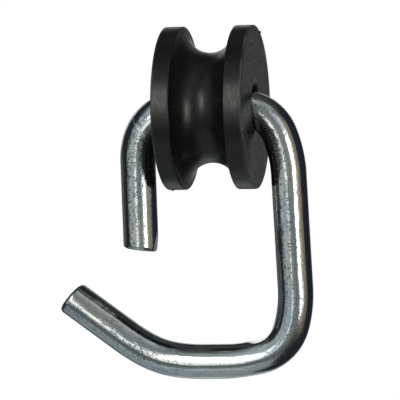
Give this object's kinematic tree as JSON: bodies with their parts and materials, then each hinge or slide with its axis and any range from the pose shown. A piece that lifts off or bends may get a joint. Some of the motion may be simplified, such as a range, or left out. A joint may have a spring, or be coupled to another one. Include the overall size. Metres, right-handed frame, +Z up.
{
  "type": "ceiling fan hook",
  "caption": "Open steel rod hook that hangs a ceiling fan, with a grooved rubber reel that seats on the ceiling bar and lets it swing.",
  "frame": {"origin": "middle of the reel, on the axis of its bore", "axes": "+X along the reel's bore towards the long leg, +Z up as it hangs, and the rod's centreline in the XZ plane"},
  "size_m": [0.0584, 0.0366, 0.0801],
  "materials": {
    "zinc_steel": "bright zinc plating with fine speckle",
    "black_rubber": "satin moulded rubber"
  },
  "bodies": {
    "reel": {"rubber_reel": "black_rubber"},
    "hook": {"hook_rod": "zinc_steel"}
  },
  "joints": [
    {"name": "hook_swing", "type": "hinge", "parent": "reel", "child": "hook", "pos_m": [0, 0, 0], "axis": [1, 0, 0], "continuous": true}
  ]
}
